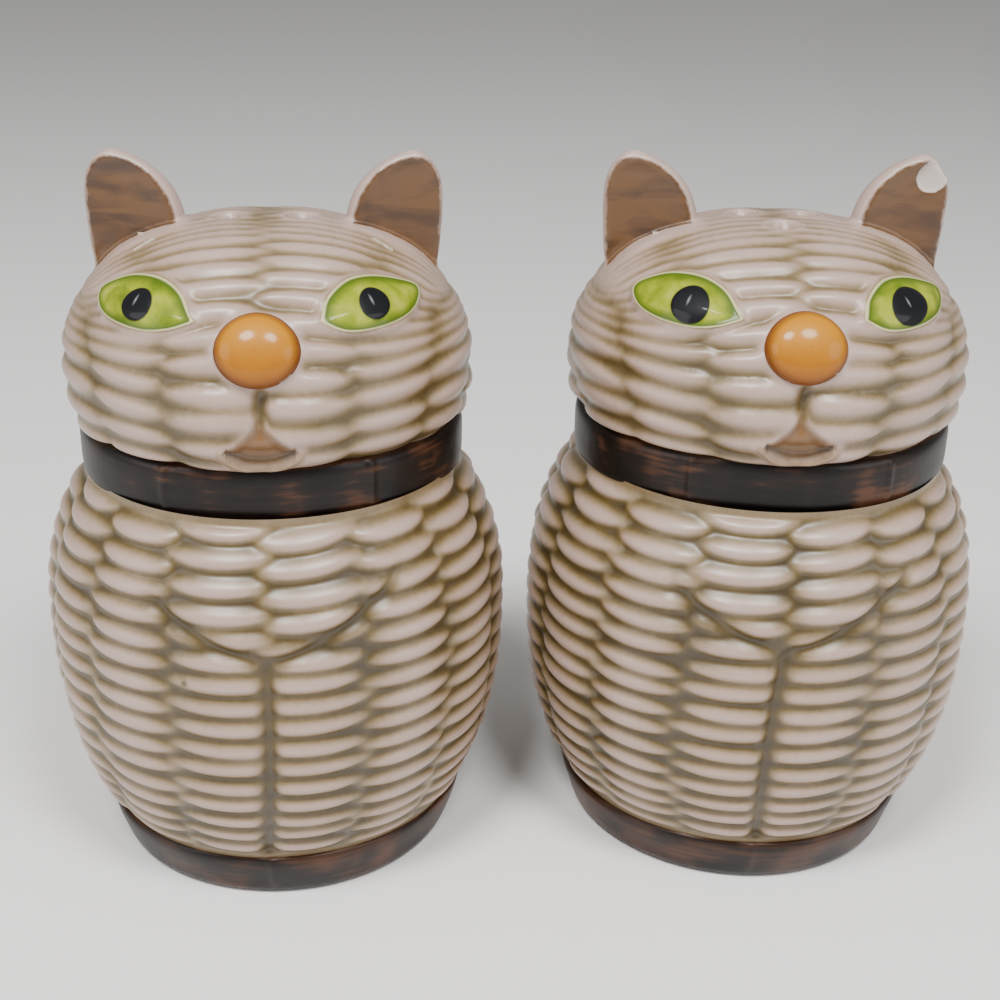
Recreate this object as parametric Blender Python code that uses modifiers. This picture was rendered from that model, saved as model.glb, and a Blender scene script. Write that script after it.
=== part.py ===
# A salt and pepper pair: two cast ceramic cats, each filled from below and closed by a soft stopper.
# Units are metres and +Z is up. The table is at Z = 0 and the cats face -Y.

import math

import bmesh
import bpy
from mathutils import Matrix, Vector

# How the pair stands
PAIR_GAP = 0.0037
PAIR_STAGGER = 0.0059
PEPPER_YAW = math.radians(5.3)
SALT_YAW = math.radians(1.9)

# Outside of the trunk, which is round
FOOT_RADIUS = 0.0246
BAND_RADIUS = 0.0264
BAND_HEIGHT = 0.0070
BODY_RADIUS = 0.0326
BODY_HEIGHT = 0.0505
BODY_FULLNESS = 2.5
WIDEST_SHARE = 0.57

# Outside of the collar and head, which are a little wider than deep
COLLAR_RADIUS = 0.0264
COLLAR_HEIGHT = 0.0070
HEAD_RADIUS = 0.0281
HEAD_HALF_DEPTH = 0.0265
HEAD_HEIGHT = 0.0271
CHEEK_HEIGHT = 0.0066
DOME_RISE_POWER = 2.3
DOME_FALL_POWER = 2.2
EDGE = 0.0006

# Ears, as heights and widths from the head that carries them
EAR_RISE = 0.0084
EAR_HALF_WIDTH = 0.0065
EAR_THICKNESS = 0.0078
EAR_FOOT = 0.0168
EAR_LEAN = 0.0030
EAR_DEPTH = 0.0170
EAR_LEAN_POWER = 2.9
EAR_ROUNDNESS = 5.0
EAR_TAPER = 0.75
EAR_TIP = 0.985
EAR_CUP_SCALE = 0.60
EAR_CUP_MIDDLE = 0.63
EAR_SET_BACK = 0.0015

# Face relief
EYE_LENGTH = 0.0158
EYE_HEIGHT = 0.0078
EYE_RELIEF = 0.0015
EYE_AZIMUTH = math.radians(39)
EYE_LEVEL = 0.0190
NOSE_WIDTH = 0.0102
NOSE_HEIGHT = 0.0092
NOSE_RELIEF = 0.0020
NOSE_LEVEL = 0.0163
MOUTH_HALF_WIDTH = math.radians(11)
MOUTH_TOP = 0.0062
MOUTH_BOTTOM = 0.0020
PHILTRUM_TOP = 0.0110
FACE_GROOVE = 0.0009

# The line of the haunches: a V across the chest and a crease down to the base band
HAUNCH_SPREAD = math.radians(33)
HAUNCH_RISE = 0.0112
HAUNCH_LEVEL = 0.0336
HAUNCH_POWER = 1.5
HAUNCH_GROOVE = 0.0012

# Walls, floor and holes
WALL = 0.0038
FLOOR = 0.0042
FOOT_WIDTH = 0.0042
FOOT_RECESS = 0.0034
FILLER_RADIUS = 0.0100
POUR_RADIUS = 0.0018
POUR_CIRCLE = 0.0048
PEPPER_HOLES = 2
SALT_HOLES = 3

# Stopper
FIT_GAP = 0.0003
FLANGE_OVERLAP = 0.0028
FLANGE_THICKNESS = 0.0016
PLUG_LENGTH = 0.0080
PLUG_WALL = 0.0016
RIB_DEPTH = 0.0008
RIB_COUNT = 2

# Facets
TURN_STEPS = 36
CAVITY_STEPS = 28
BODY_STATIONS = 9
DOME_STATIONS = 7
EAR_STATIONS = 7
HAUNCH_STATIONS = 14
CREASE_STATIONS = 6
MOUTH_STATIONS = 7
PHILTRUM_STATIONS = 4
EYE_SEGMENTS = 14
EYE_RINGS = 8
HOLE_SIDES = 12
TILT_STEP = 0.0005
MERGE = 0.00001

# Base colours and roughness
GLAZE_COLOUR = (0.74, 0.66, 0.53)
GLAZE_ROUGHNESS = 0.18
RUBBER_COLOUR = (0.62, 0.58, 0.50)
RUBBER_ROUGHNESS = 0.65

# Sizes that follow from those above
BODY_TOP = BAND_HEIGHT + BODY_HEIGHT
COLLAR_TOP = BODY_TOP + COLLAR_HEIGHT
HEAD_TOP = COLLAR_TOP + HEAD_HEIGHT
CHEEK_LEVEL = COLLAR_TOP + CHEEK_HEIGHT
BODY_WIDEST = BAND_HEIGHT + WIDEST_SHARE * BODY_HEIGHT
NECK_SQUASH = HEAD_HALF_DEPTH / HEAD_RADIUS
PAIR_SPACING = 2 * BODY_RADIUS + PAIR_GAP


def clear_scene():
    for obj in list(bpy.data.objects):
        bpy.data.objects.remove(obj, do_unlink=True)


def new_collection(name):
    collection = bpy.data.collections.new(name)
    bpy.context.scene.collection.children.link(collection)
    return collection


def new_material(name, colour, roughness):
    material = bpy.data.materials.new(name)
    material.use_nodes = True
    shader = material.node_tree.nodes["Principled BSDF"]
    shader.inputs["Base Color"].default_value = (*colour, 1.0)
    shader.inputs["Roughness"].default_value = roughness
    material.diffuse_color = (*colour, 1.0)
    return material


# Outlines of the outside, as a radius at each height

def body_radius(z):
    # Widest a little above the middle, closing evenly to the band below and the collar above.
    if z > BODY_WIDEST:
        share = (z - BODY_WIDEST) / (BODY_TOP - BODY_WIDEST)
    else:
        share = (BODY_WIDEST - z) / (BODY_WIDEST - BAND_HEIGHT)
    bulge = 1 - min(abs(share), 1.0) ** BODY_FULLNESS
    return BAND_RADIUS + (BODY_RADIUS - BAND_RADIUS) * bulge


def head_radius(z):
    # A broad dome above the cheeks and a short tuck below them to the collar.
    if z > CHEEK_LEVEL:
        share = min((z - CHEEK_LEVEL) / (HEAD_TOP - CHEEK_LEVEL), 1.0)
        return HEAD_RADIUS * (1 - share ** DOME_RISE_POWER) ** (1 / DOME_FALL_POWER)
    share = (CHEEK_LEVEL - z) / CHEEK_HEIGHT
    return HEAD_RADIUS - (HEAD_RADIUS - COLLAR_RADIUS - EDGE / 2) * share ** 2


def stations(low, high, count):
    return [low + (high - low) * i / (count - 1) for i in range(count)]


def dome_stations(count, top):
    # Heights that close up towards the top of the dome, so its flattening crown stays round.
    angles = stations(0, math.pi / 2, count)
    return [CHEEK_LEVEL + (top - CHEEK_LEVEL) * math.sin(angle) for angle in angles]


def trunk_outline():
    points = [(0, BODY_TOP + 3 * EDGE), (COLLAR_RADIUS - 4 * EDGE, BODY_TOP + 2 * EDGE)]
    for z in reversed(stations(BAND_HEIGHT + EDGE, BODY_TOP - EDGE, BODY_STATIONS)):
        points.append((body_radius(z), z))
    points += [
        (BAND_RADIUS - EDGE, BAND_HEIGHT),
        (BAND_RADIUS, BAND_HEIGHT - EDGE),
        (FOOT_RADIUS + EDGE / 2, EDGE),
        (FOOT_RADIUS - EDGE, 0),
        (0, 0),
    ]
    return points


def upper_outline():
    points = []
    for z in reversed(dome_stations(DOME_STATIONS, HEAD_TOP)):
        points.append((head_radius(z), z))
    points[0] = (0, HEAD_TOP)
    for z in (COLLAR_TOP + CHEEK_HEIGHT / 2, COLLAR_TOP + EDGE):
        points.append((head_radius(z), z))
    points += [
        (COLLAR_RADIUS - EDGE, COLLAR_TOP),
        (COLLAR_RADIUS, COLLAR_TOP - EDGE),
        (COLLAR_RADIUS, BODY_TOP + 2 * EDGE),
        (COLLAR_RADIUS - EDGE, BODY_TOP + EDGE / 2),
        (COLLAR_RADIUS - 4 * EDGE, BODY_TOP - EDGE),
        (0, BODY_TOP - 4 * EDGE),
    ]
    return points


def trunk_cavity_outline():
    # The chamber, the filler hole in its floor and the recess inside the foot ring.
    low = FOOT_RECESS + FLOOR
    high = BODY_TOP + COLLAR_HEIGHT / 2
    neck = COLLAR_RADIUS * NECK_SQUASH - WALL
    recess = FOOT_RADIUS - FOOT_WIDTH
    points = [(0, high), (neck - EDGE, high)]
    for z in reversed(stations(low + 2 * EDGE, BODY_TOP - WALL, BODY_STATIONS - 2)):
        points.append((max(body_radius(z) - WALL, neck), z))
    points += [
        (BAND_RADIUS - WALL - 4 * EDGE, low),
        (FILLER_RADIUS, low),
        (FILLER_RADIUS, FOOT_RECESS),
        (recess, FOOT_RECESS),
        (recess, -WALL),
        (0, -WALL),
    ]
    return points


def upper_cavity_outline():
    crown = HEAD_TOP - WALL
    points = []
    for z in reversed(dome_stations(DOME_STATIONS - 1, crown)):
        outside = z + WALL * (z - CHEEK_LEVEL) / (crown - CHEEK_LEVEL)
        points.append((max(head_radius(outside) - WALL, 0), z))
    points[0] = (0, crown)
    neck = COLLAR_RADIUS - WALL - EDGE
    points += [(neck, COLLAR_TOP - EDGE), (neck, BODY_TOP), (0, BODY_TOP)]
    return points


# Shapes

def link(obj, collection, parent):
    collection.objects.link(obj)
    obj.parent = parent
    return obj


def turned(name, outline, steps):
    # An outline from the top of the axis down its outer side, turned about Z. It starts half a
    # facet off the X axis, so that a facet and not an edge faces straight ahead.
    mesh = bpy.data.meshes.new(name)
    start = -math.pi / steps
    edges = [(i, i + 1) for i in range(len(outline) - 1)]
    points = [(r * math.cos(start), r * math.sin(start), z) for r, z in outline]
    mesh.from_pydata(points, edges, [])
    obj = bpy.data.objects.new(name, mesh)
    screw = obj.modifiers.new("turn", "SCREW")
    screw.steps = steps
    screw.render_steps = steps
    screw.use_merge_vertices = True
    screw.merge_threshold = MERGE
    screw.use_smooth_shade = True
    return obj


def squashed(obj, ratio):
    # Narrows a turned shape front to back, after its modifiers.
    obj.scale.y = ratio
    return obj


def rounded(name, radii, centre, turn):
    # An ellipsoid with its poles left and right.
    mesh = bpy.data.meshes.new(name)
    bm = bmesh.new()
    place = Matrix.Translation(centre) @ turn @ Matrix.Diagonal((*radii, 1))
    place @= Matrix.Rotation(math.pi / 2, 4, "Y")
    bmesh.ops.create_uvsphere(bm, u_segments=EYE_SEGMENTS, v_segments=EYE_RINGS, radius=1, matrix=place)
    bm.to_mesh(mesh)
    bm.free()
    return bpy.data.objects.new(name, mesh)


def rod(name, radius, low, high, x, y):
    mesh = bpy.data.meshes.new(name)
    bm = bmesh.new()
    place = Matrix.Translation((x, y, (low + high) / 2))
    bmesh.ops.create_cone(
        bm, cap_ends=True, segments=HOLE_SIDES, radius1=radius, radius2=radius, depth=high - low, matrix=place
    )
    bm.to_mesh(mesh)
    bm.free()
    return bpy.data.objects.new(name, mesh)


def tube(name, points, radii, flatten=1.0, resolution=1):
    # A round bar along a path, with its own radius at each point, made into a closed mesh.
    curve = bpy.data.curves.new(name, "CURVE")
    curve.dimensions = "3D"
    curve.bevel_depth = 1.0
    curve.bevel_resolution = resolution
    curve.use_fill_caps = True
    spline = curve.splines.new("POLY")
    spline.points.add(len(points) - 1)
    for point, place, radius in zip(spline.points, points, radii):
        point.co = (*place, 1)
        point.radius = radius
    guide = bpy.data.objects.new(name + "_path", curve)
    bpy.context.scene.collection.objects.link(guide)
    bpy.context.view_layer.update()
    evaluated = guide.evaluated_get(bpy.context.evaluated_depsgraph_get())
    mesh = bpy.data.meshes.new_from_object(evaluated)
    bpy.data.objects.remove(guide, do_unlink=True)
    bpy.data.curves.remove(curve)
    bm = bmesh.new()
    bm.from_mesh(mesh)
    bmesh.ops.remove_doubles(bm, verts=bm.verts, dist=MERGE)
    middle = sum((Vector(p) for p in points), Vector()) / len(points)
    squash = Matrix.Translation((0, middle.y, 0))
    squash @= Matrix.Diagonal((1, flatten, 1, 1))
    squash @= Matrix.Translation((0, -middle.y, 0))
    bmesh.ops.transform(bm, matrix=squash, verts=bm.verts)
    bmesh.ops.recalc_face_normals(bm, faces=bm.faces)
    bm.to_mesh(mesh)
    bm.free()
    mesh.name = name
    return bpy.data.objects.new(name, mesh)


def trunk_point(azimuth, z):
    radius = body_radius(z)
    return (radius * math.sin(azimuth), -radius * math.cos(azimuth), z)


def head_point(azimuth, z):
    radius = head_radius(z)
    return (radius * math.sin(azimuth), -radius * NECK_SQUASH * math.cos(azimuth), z)


def head_tilt(z):
    # How far the head's surface leans back from upright at a height.
    fall = head_radius(z - TILT_STEP) - head_radius(z + TILT_STEP)
    return math.atan2(fall, 2 * TILT_STEP)


def ear_half_width(share):
    # Full width where it leaves the head, then round at the tip.
    return EAR_HALF_WIDTH * (1 - share ** EAR_ROUNDNESS) ** EAR_TAPER


def ear_form(name, side, size, shift):
    # A tapering bar that leans outwards, flattened front to back. Size shrinks it about its middle.
    root = HEAD_TOP + EAR_RISE - EAR_DEPTH
    middle = root + EAR_CUP_MIDDLE * EAR_DEPTH
    points = []
    radii = []
    for share in stations(0, EAR_TIP, EAR_STATIONS):
        x = side * (EAR_FOOT + EAR_LEAN * share ** EAR_LEAN_POWER)
        z = middle + size * (root + EAR_DEPTH * share - middle)
        points.append((x, EAR_SET_BACK + shift, z))
        radii.append(size * ear_half_width(share))
    return tube(name, points, radii, EAR_THICKNESS / (2 * EAR_HALF_WIDTH), 1)


def eye_form(name, side):
    z = COLLAR_TOP + EYE_LEVEL
    azimuth = side * EYE_AZIMUTH
    turn = Matrix.Rotation(azimuth, 4, "Z") @ Matrix.Rotation(-head_tilt(z), 4, "X")
    radii = (EYE_LENGTH / 2, EYE_HEIGHT / 2, EYE_HEIGHT / 2)
    inset = turn @ Vector((0, radii[1] - EYE_RELIEF, 0))
    return rounded(name, radii, Vector(head_point(azimuth, z)) + inset, turn)


def nose_form(name):
    z = COLLAR_TOP + NOSE_LEVEL
    turn = Matrix.Rotation(-head_tilt(z), 4, "X")
    radii = (NOSE_WIDTH / 2, NOSE_WIDTH / 2, NOSE_HEIGHT / 2)
    inset = turn @ Vector((0, radii[1] - NOSE_RELIEF, 0))
    return rounded(name, radii, Vector(head_point(0, z)) + inset, turn)


def haunch_path():
    points = []
    for share in stations(-1, 1, HAUNCH_STATIONS):
        z = BAND_HEIGHT + HAUNCH_LEVEL + HAUNCH_RISE * abs(share) ** HAUNCH_POWER
        points.append(trunk_point(share * HAUNCH_SPREAD, z))
    return points


def crease_path():
    low = BAND_HEIGHT + HAUNCH_GROOVE
    high = BAND_HEIGHT + HAUNCH_LEVEL + HAUNCH_GROOVE / 2
    return [trunk_point(0, z) for z in stations(low, high, CREASE_STATIONS)]


def mouth_path():
    top = COLLAR_TOP + MOUTH_TOP
    low = COLLAR_TOP + MOUTH_BOTTOM
    shares = stations(-1, 1, MOUTH_STATIONS)
    return [head_point(share * MOUTH_HALF_WIDTH, top + (low - top) * abs(share)) for share in shares]


def philtrum_path():
    low = COLLAR_TOP + MOUTH_TOP
    high = COLLAR_TOP + PHILTRUM_TOP
    return [head_point(0, z) for z in stations(low, high, PHILTRUM_STATIONS)]


def groove(name, path, radius):
    return tube(name, path, [radius] * len(path))


def pour_holes(prefix, count, first):
    # Upright holes through the crown, evenly spaced on a circle.
    holes = []
    low = HEAD_TOP - 3 * WALL
    for i in range(count):
        angle = first + 2 * math.pi * i / count
        x = POUR_CIRCLE * math.cos(angle)
        y = POUR_CIRCLE * math.sin(angle)
        holes.append(rod(f"{prefix}_hole_{i + 1}", POUR_RADIUS, low, HEAD_TOP + WALL, x, y))
    return holes


def boolean(obj, cutter, operation):
    modifier = obj.modifiers.new(cutter.name, "BOOLEAN")
    modifier.operation = operation
    modifier.solver = "EXACT"
    modifier.object = cutter


def shaker_body(prefix, stand, holes, material, parts, cutters):
    raised = [
        squashed(turned(prefix + "_upper", upper_outline(), TURN_STEPS), NECK_SQUASH),
        nose_form(prefix + "_nose"),
    ]
    for side, word in ((-1, "right"), (1, "left")):
        raised.append(ear_form(f"{prefix}_{word}_ear", side, 1.0, 0.0))
        raised.append(eye_form(f"{prefix}_{word}_eye", side))
    cavity_squash = (HEAD_HALF_DEPTH - WALL) / (HEAD_RADIUS - WALL)
    cut = [
        turned(prefix + "_trunk_cavity", trunk_cavity_outline(), CAVITY_STEPS),
        squashed(turned(prefix + "_upper_cavity", upper_cavity_outline(), CAVITY_STEPS), cavity_squash),
        groove(prefix + "_haunches", haunch_path(), HAUNCH_GROOVE),
        groove(prefix + "_crease", crease_path(), HAUNCH_GROOVE),
        groove(prefix + "_mouth", mouth_path(), FACE_GROOVE),
        groove(prefix + "_philtrum", philtrum_path(), FACE_GROOVE),
    ]
    for side, word in ((-1, "right"), (1, "left")):
        cut.append(ear_form(f"{prefix}_{word}_ear_cup", side, EAR_CUP_SCALE, -EAR_THICKNESS / 2))
    cut += holes
    body = link(turned(prefix + "_shaker_body", trunk_outline(), TURN_STEPS), parts, stand)
    body.data.materials.append(material)
    for operation, shapes in (("UNION", raised), ("DIFFERENCE", cut)):
        for shape in shapes:
            link(shape, cutters, stand)
            shape.hide_render = True
            shape.display_type = "WIRE"
            boolean(body, shape, operation)
    return body


def stopper_outline():
    flange_top = FOOT_RECESS - FIT_GAP
    flange_low = flange_top - FLANGE_THICKNESS
    plug_top = flange_top + PLUG_LENGTH
    rib = FILLER_RADIUS - FIT_GAP
    core = rib - RIB_DEPTH
    flange = FILLER_RADIUS + FLANGE_OVERLAP
    points = [(0, plug_top), (core - 2 * RIB_DEPTH, plug_top), (core, plug_top - 2 * RIB_DEPTH)]
    pitch = FLOOR / (RIB_COUNT + 1)
    for i in range(RIB_COUNT, 0, -1):
        z = flange_top + pitch * i
        points += [(core, z + RIB_DEPTH / 2), (rib, z), (core, z - RIB_DEPTH / 2)]
    points += [(core, flange_top), (flange, flange_top), (flange, flange_low)]
    hollow = core - PLUG_WALL
    roof = plug_top - PLUG_WALL
    points += [(hollow, flange_low), (hollow, roof - RIB_DEPTH), (hollow - RIB_DEPTH, roof), (0, roof)]
    return points


def stopper(prefix, stand, material, parts):
    plug = link(turned(prefix + "_stopper", stopper_outline(), CAVITY_STEPS), parts, stand)
    plug.data.materials.append(material)
    return plug


def build():
    clear_scene()
    parts = new_collection("salt_and_pepper_shakers")
    cutters = new_collection("cutters")
    pair = [
        ("pepper", -0.5, PEPPER_YAW, PEPPER_HOLES, 0.0),
        ("salt", 0.5, SALT_YAW, SALT_HOLES, -math.pi / 2),
    ]
    for prefix, place, yaw, hole_count, first in pair:
        stand = bpy.data.objects.new(prefix + "_stand", None)
        parts.objects.link(stand)
        stand.location = (place * PAIR_SPACING, place * PAIR_STAGGER, 0)
        stand.rotation_euler.z = yaw
        glaze = new_material(prefix + "_glaze", GLAZE_COLOUR, GLAZE_ROUGHNESS)
        rubber = new_material(prefix + "_stopper_rubber", RUBBER_COLOUR, RUBBER_ROUGHNESS)
        holes = pour_holes(prefix, hole_count, first)
        shaker_body(prefix, stand, holes, glaze, parts, cutters)
        stopper(prefix, stand, rubber, parts)


build()
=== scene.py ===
import math

import bpy
import numpy as np
from mathutils import Matrix, Vector


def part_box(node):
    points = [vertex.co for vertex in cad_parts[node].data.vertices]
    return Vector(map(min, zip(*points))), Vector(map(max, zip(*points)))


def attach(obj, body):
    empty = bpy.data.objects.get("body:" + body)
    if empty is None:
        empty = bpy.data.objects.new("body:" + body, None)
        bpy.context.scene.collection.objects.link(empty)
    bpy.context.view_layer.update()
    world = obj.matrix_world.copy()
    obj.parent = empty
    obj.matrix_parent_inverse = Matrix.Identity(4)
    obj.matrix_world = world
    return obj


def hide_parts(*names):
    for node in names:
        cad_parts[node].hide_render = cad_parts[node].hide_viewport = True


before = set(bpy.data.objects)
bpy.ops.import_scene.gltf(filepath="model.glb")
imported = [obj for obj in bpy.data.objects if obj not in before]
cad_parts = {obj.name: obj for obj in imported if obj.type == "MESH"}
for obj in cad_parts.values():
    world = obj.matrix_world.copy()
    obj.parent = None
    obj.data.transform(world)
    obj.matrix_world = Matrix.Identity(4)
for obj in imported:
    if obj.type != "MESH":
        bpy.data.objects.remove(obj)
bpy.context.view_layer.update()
mm = 0.001


# Small helpers. Every size below is in mm, in a shaker's own frame: its axis is x = y = 0,
# its foot stands on z = 0 and its face looks along -y.

def smooth(low, high, value):
    share = np.clip((value - low) / (high - low), 0.0, 1.0)
    return share * share * (3.0 - 2.0 * share)


def bell(distance, width):
    return np.exp(-(distance / width) ** 2)


def chance(*keys):  # a repeatable value from 0 to 1 for each set of whole numbers
    total = 0.0
    for key, factor in zip(keys, (12.9898, 78.233, 37.719)):
        total = total + np.asarray(key, float) * factor
    value = np.sin(total) * 43758.5453
    return value - np.floor(value)


def meshFrom(name, points, faces, values):
    mesh = bpy.data.meshes.new(name)
    faces = np.asarray(faces, np.int32)
    mesh.vertices.add(len(points))
    mesh.vertices.foreach_set("co", (np.asarray(points) * mm).astype(np.float32).ravel())
    mesh.loops.add(faces.size)
    mesh.loops.foreach_set("vertex_index", faces.ravel())
    mesh.polygons.add(len(faces))
    mesh.polygons.foreach_set("loop_start", np.arange(0, faces.size, faces.shape[1], dtype=np.int32))
    mesh.update(calc_edges=True)
    for key, value in values.items():
        layer = mesh.attributes.new(key, "FLOAT", "POINT")
        layer.data.foreach_set("value", np.asarray(value, np.float32).ravel())
    mesh.shade_smooth()
    return mesh


def gridFaces(rows, columns):
    around = np.arange(columns)
    ahead = (around + 1) % columns
    strips = []
    for row in range(rows - 1):
        low, high = row * columns, (row + 1) * columns
        strips.append(np.stack([low + around, low + ahead, high + ahead, high + around], 1))
    return np.concatenate(strips)


def normalsOf(points, faces):
    corners = points[faces]
    across = np.cross(corners[:, 2] - corners[:, 0], corners[:, 3] - corners[:, 1])
    total = np.zeros_like(points)
    for corner in range(4):
        np.add.at(total, faces[:, corner], across)
    return total / np.maximum(np.linalg.norm(total, axis=1, keepdims=True), 1e-12)


def relaxed(values, faces, rounds):  # evens out points or fields over a mesh, half way each round
    count = len(values)
    ends = np.concatenate([faces[:, [0, 1]], faces[:, [1, 2]], faces[:, [2, 3]], faces[:, [3, 0]]])
    ends = np.concatenate([ends, ends[:, ::-1]])
    shared = np.maximum(np.bincount(ends[:, 0], minlength=count), 1)[:, None]
    result = np.array(values, float).reshape(count, -1)
    for _ in range(rounds):
        sums = [np.bincount(ends[:, 0], result[ends[:, 1], i], count) for i in range(result.shape[1])]
        result = result + 0.5 * (np.stack(sums, 1) / shared - result)
    return result.reshape(np.shape(values))


# The cast form that both shakers share, without its weave.
castForm = {
    "footRadius": 24.6,
    "bandRadius": 26.4,
    "bandTop": 7.0,
    "bodyRadius": 32.6,
    "bodyTop": 57.5,
    "widest": 35.8,
    "bodyFullness": 2.5,
    "collarRadius": 26.4,
    "collarTop": 64.5,
    "cheekLevel": 71.1,
    "headRadius": 28.1,
    "headSquash": 0.943,   # depth over width, for collar and head
    "headTop": 91.6,
    "domePowers": (2.3, 2.2),
    "tuckLimit": 1.3,      # how far below the collar's top the cheek's curve runs on
    "neckStep": 0.3,       # mm from the collar out to the lower edge of the head
}


def bodyRadius(z):
    form = castForm
    above = (z - form["widest"]) / (form["bodyTop"] - form["widest"])
    below = (form["widest"] - z) / (form["widest"] - form["bandTop"])
    share = np.clip(np.where(z > form["widest"], above, below), 0, 1)
    swell = form["bodyRadius"] - form["bandRadius"]
    return form["bandRadius"] + swell * (1 - share ** form["bodyFullness"])


def headRadius(z):
    form = castForm
    rise, fall = form["domePowers"]
    share = np.clip((z - form["cheekLevel"]) / (form["headTop"] - form["cheekLevel"]), 0, 1)
    tuck = np.clip((form["cheekLevel"] - z) / (form["cheekLevel"] - form["collarTop"]), 0, form["tuckLimit"])
    under = form["headRadius"] - (form["headRadius"] - form["collarRadius"] - form["neckStep"]) * tuck ** 2
    dome = form["headRadius"] * (1 - share ** rise) ** (1 / fall)
    return np.where(z > form["cheekLevel"], dome, under)


def onHead(turn, z, lift=0.0):  # a point of the bare head, lifted off it by some mm
    angle = np.radians(turn)
    squash, step = castForm["headSquash"], 0.05
    radius = headRadius(z)
    slope = (headRadius(z + step) - headRadius(z - step)) / (2 * step)
    point = np.stack([radius * np.sin(angle), -squash * radius * np.cos(angle), z], -1)
    normal = np.stack([np.sin(angle), -np.cos(angle) / squash, -slope], -1)
    normal = normal / np.linalg.norm(normal, axis=-1, keepdims=True)
    return point + normal * np.asarray(lift)[..., None]


# How the two castings differ.
shakers = {
    "pepper": {
        "yaw": 5.3,
        "seed": 11,
        "holes": [(-4.8, 0.0), (4.8, 0.0)],
        "creaseLean": 3.4,
        "creaseBow": 0.2,
        # across, up, half length, half width and tilt of each pupil
        "pupils": {"left": (0.5, 0.1, 2.36, 2.1, 146), "right": (-1.15, 0.25, 2.33, 2.0, -140)},
        "chip": False,
        "pit": True,
    },
    "salt": {
        "yaw": 1.9,
        "seed": 47,
        "holes": [(0.0, -4.8), (4.16, 2.4), (-4.16, 2.4)],
        "creaseLean": 0.6,
        "creaseBow": -1.9,
        "pupils": {"left": (1.6, -0.1, 2.76, 2.45, 131), "right": (-1.35, 0.0, 3.3, 2.5, -158)},
        "chip": True,
        "pit": False,
    },
}

for key, shaker in shakers.items():
    low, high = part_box(key + "_stopper")
    shaker["axis"] = np.array([(low.x + high.x) / 2, (low.y + high.y) / 2]) / mm


def placed(points, shaker):  # from the shaker's own frame to where it stands
    angle = math.radians(shaker["yaw"])
    points = np.asarray(points, float)
    x = points[:, 0] * math.cos(angle) - points[:, 1] * math.sin(angle) + shaker["axis"][0]
    y = points[:, 0] * math.sin(angle) + points[:, 1] * math.cos(angle) + shaker["axis"][1]
    return np.stack([x, y, points[:, 2]], 1)


def joinShaker(name, key, mesh, material):
    mesh.materials.append(material)
    piece = bpy.data.objects.new(name, mesh)
    bpy.context.scene.collection.objects.link(piece)
    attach(piece, key + "_shaker")
    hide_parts(key + "_shaker_body")


def addPiece(name, key, points, faces, material, values):
    joinShaker(name, key, meshFrom(name, placed(points, shakers[key]), faces, values), material)


def toLinear(code):
    parts = [int(code[i:i + 2], 16) / 255 for i in (1, 3, 5)]
    return [part / 12.92 if part <= 0.04045 else ((part + 0.055) / 1.055) ** 2.4 for part in parts] + [1.0]


def addNode(tree, kind, settings=None, links=None):
    node = tree.nodes.new(kind)
    for key, value in (settings or {}).items():
        if key == "stops":
            ramp = node.color_ramp
            while len(ramp.elements) < len(value):
                ramp.elements.new(1.0)
            for element, (position, colour) in zip(ramp.elements, value):
                element.position = position
                element.color = toLinear(colour)
        elif isinstance(key, str) and hasattr(node, key):
            setattr(node, key, value)
        else:
            node.inputs[key].default_value = value
    for key, source in (links or {}).items():
        socket = source if isinstance(source, bpy.types.NodeSocket) else source.outputs[0]
        tree.links.new(socket, node.inputs[key])
    return node


def startMaterial(name):
    material = bpy.data.materials.new(name)
    material.use_nodes = True
    tree = material.node_tree
    tree.nodes.clear()
    output = addNode(tree, "ShaderNodeOutputMaterial")
    shader = addNode(tree, "ShaderNodeBsdfPrincipled")
    tree.links.new(shader.outputs[0], output.inputs["Surface"])
    return material, tree, shader


def placeInMm(tree):
    where = addNode(tree, "ShaderNodeTexCoord")
    scaled = addNode(tree, "ShaderNodeVectorMath", {"operation": "SCALE", "Scale": 1 / mm},
                     {0: where.outputs["Object"]})
    return scaled.outputs[0]


def mixed(tree, share, first, second):
    node = addNode(tree, "ShaderNodeMix", {"data_type": "RGBA"}, {0: share})
    for index, value in ((6, first), (7, second)):  # the two colour sockets of the node
        if isinstance(value, str):
            node.inputs[index].default_value = toLinear(value)
        else:
            tree.links.new(value, node.inputs[index])
    return node.outputs[2]


glazeLook = {
    "crown": "#AE978C",       # ivory where the glaze is thin
    "crownWarm": "#A18878",
    "slope": "#806C4E",
    "groove": "#54431C",      # olive where it pooled
    "deep": "#372A0C",
    "poolStops": (0.0, 0.28, 0.52, 0.78, 1.0),   # depth of the pool at each of these five
    "grain": 0.9,             # mm across the faint mottle
    "grainShare": 0.16,
    "cloud": 9.0,             # mm across the slow change of tone
    "cloudShare": 0.30,
    "roughness": 0.42,
    "coat": 0.40,
    "coatRoughness": 0.28,
    "specular": 0.5,
    "ripple": 0.06,           # mm of unevenness in the glaze
}


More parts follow.
